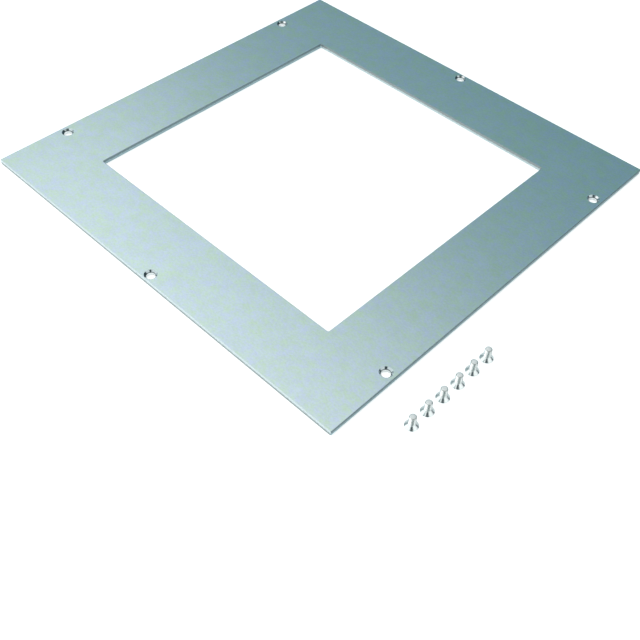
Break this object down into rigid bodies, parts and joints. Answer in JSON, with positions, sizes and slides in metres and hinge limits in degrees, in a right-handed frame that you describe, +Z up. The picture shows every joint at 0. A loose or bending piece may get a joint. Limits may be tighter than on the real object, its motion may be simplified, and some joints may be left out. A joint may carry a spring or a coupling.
{
  "type": "floor box cover",
  "caption": "Flat square galvanised steel cover plate with a square opening, countersunk edge holes, and its countersunk fixing screws standing beside it.",
  "frame": {"origin": "centre of the square plate on its underside, which is the plane it rests on", "axes": "+Z up through the plate, X and Y along the plate's edges, +X towards the row of loose screws; the X sides carry two holes each and the Y sides one each"},
  "size_m": [0.3901, 0.356, 0.01],
  "materials": {
    "galvanised_sheet": "galvanised sheet with fine rolling grain, satin",
    "zinc_plated_steel": "bright zinc plated"
  },
  "bodies": {
    "root": {"cover_plate": "galvanised_sheet", "fixing_screws": "zinc_plated_steel"}
  },
  "joints": []
}
